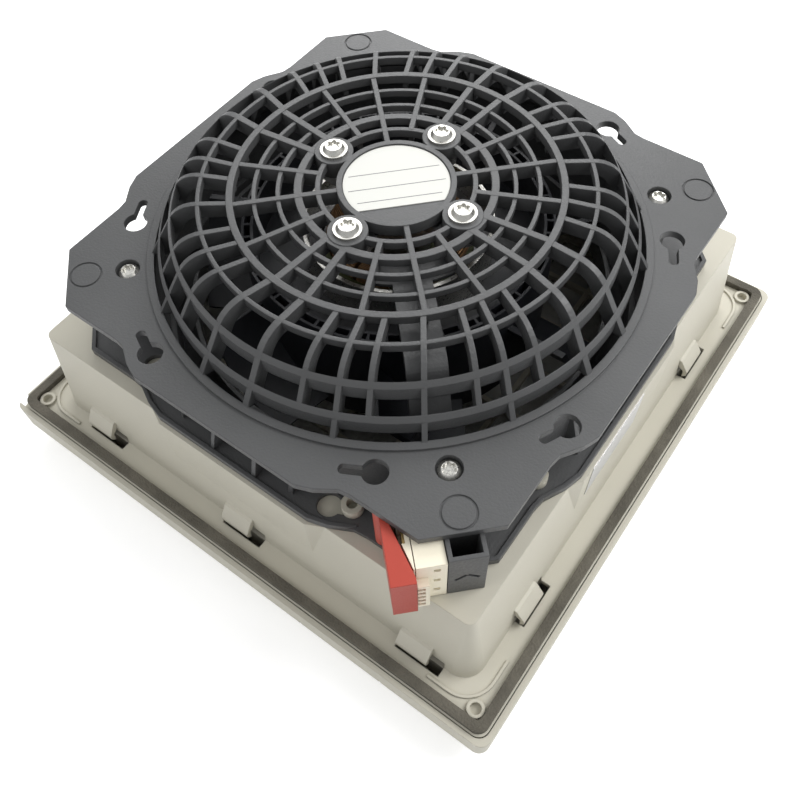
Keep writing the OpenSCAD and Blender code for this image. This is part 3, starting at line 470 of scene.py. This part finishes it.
@dataclass
class HubFace:
    """The plain divider lines on the label of the hub."""

    palette: Palette
    line: float = 0.25 * MM
    lift: float = 0.06 * MM
    turn: float = math.radians(45)
    rows: tuple[tuple[float, float, float], ...] = (
        (8.0, -15.5, 15.5), (1.5, -18.0, 18.0), (-6.0, -17.0, 17.0))

    def lines(self) -> bpy.types.Object:
        """Lay the lines on the label.

        Returns:
            The lines.
        """
        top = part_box("hub_label")[1].z
        mesh = bmesh.new()
        turn = Matrix.Rotation(-self.turn, 3, "Z")
        for at, start, end in self.rows:
            made = bmesh.ops.create_cube(mesh, size=1.0)
            bmesh.ops.scale(mesh, verts=made["verts"],
                            vec=(self.line, (end - start) * MM, self.lift))
            bmesh.ops.translate(mesh, verts=made["verts"],
                                vec=(at * MM, (start + end) / 2 * MM, top + self.lift / 2))
            bmesh.ops.rotate(mesh, verts=made["verts"], cent=(0, 0, 0), matrix=turn)
        return finished("label_lines", mesh, "fan_module", "rule_ink", self.palette,
                        smooth=False)


@dataclass
class Studio:
    """Camera at the photograph's viewing angle, soft lights, floor and white background."""

    position: Vector = field(default_factory=lambda: Vector((0.14013, -0.18044, 0.34390)))
    azimuth: float = math.radians(38.599)
    elevation: float = math.radians(58.027)
    roll: float = math.radians(-3.132)
    lens: float = 37.445
    world_glow: float = 0.60
    floor_glow: float = 0.36
    aim: Vector = field(default_factory=lambda: Vector((0, 0, 0.05)))
    lamps: tuple[tuple[str, tuple[float, float, float], float, float], ...] = (
        ("key", (0.55, 0.45, 0.85), 7.5, 0.6),
        ("fill", (-0.50, -0.60, 0.80), 2.2, 0.9),
        ("back", (-0.45, 0.75, 0.70), 7.0, 0.8))

    def camera(self) -> None:
        """Place the camera."""
        back = Vector((math.sin(self.azimuth) * math.cos(self.elevation),
                       -math.cos(self.azimuth) * math.cos(self.elevation),
                       math.sin(self.elevation)))
        right = Vector((math.cos(self.azimuth), math.sin(self.azimuth), 0))
        up = back.cross(right)
        across = math.cos(self.roll) * right + math.sin(self.roll) * up
        upward = -math.sin(self.roll) * right + math.cos(self.roll) * up
        data = bpy.data.cameras.new("camera")
        data.sensor_width = 36
        data.lens = self.lens
        data.clip_start = 0.01
        cam = bpy.data.objects.new("camera", data)
        turned = Matrix((across, upward, back)).transposed().to_4x4()
        cam.matrix_world = Matrix.Translation(self.position) @ turned
        bpy.context.scene.collection.objects.link(cam)
        bpy.context.scene.camera = cam

    def light(self) -> None:
        """Set the world and the lamps."""
        world = bpy.data.worlds.new("studio")
        bpy.context.scene.world = world
        world.use_nodes = True
        tree = world.node_tree
        plain = tree.nodes["Background"]
        plain.inputs[0].default_value = (0.98, 0.99, 1.0, 1)
        plain.inputs[1].default_value = self.world_glow
        seen = tree.nodes.new("ShaderNodeBackground")
        seen.inputs[0].default_value = (1, 1, 1, 1)
        seen.inputs[1].default_value = 1.0
        rays = tree.nodes.new("ShaderNodeLightPath")
        mix = tree.nodes.new("ShaderNodeMixShader")
        tree.links.new(rays.outputs["Is Camera Ray"], mix.inputs[0])
        tree.links.new(plain.outputs[0], mix.inputs[1])
        tree.links.new(seen.outputs[0], mix.inputs[2])
        tree.links.new(mix.outputs[0], tree.nodes["World Output"].inputs[0])
        for name, place, power, size in self.lamps:
            data = bpy.data.lights.new(name, "AREA")
            data.energy = power
            data.size = size
            lamp = bpy.data.objects.new(name, data)
            aim = (self.aim - Vector(place)).to_track_quat("-Z", "Y")
            lamp.matrix_world = Matrix.Translation(place) @ aim.to_matrix().to_4x4()
            bpy.context.scene.collection.objects.link(lamp)

    def floor(self) -> None:
        """Lay the pale floor that keeps the object's shadow on a white ground."""
        mesh = bmesh.new()
        bmesh.ops.create_grid(mesh, x_segments=1, y_segments=1, size=6)
        data = bpy.data.meshes.new("floor")
        mesh.to_mesh(data)
        mesh.free()
        obj = bpy.data.objects.new("floor", data)
        mat, tree, shader = start_material("floor paper")
        grain = object_noise(tree, 300.0)
        paper = colour_span(tree, grain.outputs["Fac"], (0.93, 0.93, 0.93), (0.95, 0.95, 0.95))
        tree.links.new(paper, socket(shader, "Base Color"))
        socket(shader, "Roughness").default_value = 1.0
        rays = tree.nodes.new("ShaderNodeLightPath")
        glow = tree.nodes.new("ShaderNodeEmission")
        glow.inputs[0].default_value = (1, 1, 1, 1)
        add = tree.nodes.new("ShaderNodeAddShader")
        mix = tree.nodes.new("ShaderNodeMixShader")
        glow.inputs[1].default_value = self.floor_glow
        tree.links.new(shader.outputs[0], add.inputs[0])
        tree.links.new(glow.outputs[0], add.inputs[1])
        tree.links.new(rays.outputs["Is Camera Ray"], mix.inputs[0])
        tree.links.new(shader.outputs[0], mix.inputs[1])
        tree.links.new(add.outputs[0], mix.inputs[2])
        tree.links.new(mix.outputs[0], tree.nodes["Material Output"].inputs[0])
        data.materials.append(mat)
        bpy.context.scene.collection.objects.link(obj)


def dress_cad(palette: Palette) -> None:
    """Give every carried-over solid its finish.

    Args:
        palette: The materials.
    """
    for part in frame["record"]["subparts"]:
        palette.dress(frame["nodes"][part["node"]], part["material_slot"])


def main() -> None:
    """Build the studio, dress the solids and add the soft pieces."""
    logging.basicConfig(level=logging.INFO, format="%(message)s")
    bpy.context.scene.view_settings.view_transform = "Standard"
    studio = Studio()
    studio.camera()
    studio.light()
    studio.floor()
    palette = Palette()
    dress_cad(palette)
    soft = SoftPieces(palette)
    for piece in (soft.seal(), soft.mat(), HubFace(palette).lines()):
        log.info("made %s", piece.name)


if __name__ == "__main__":
    main()
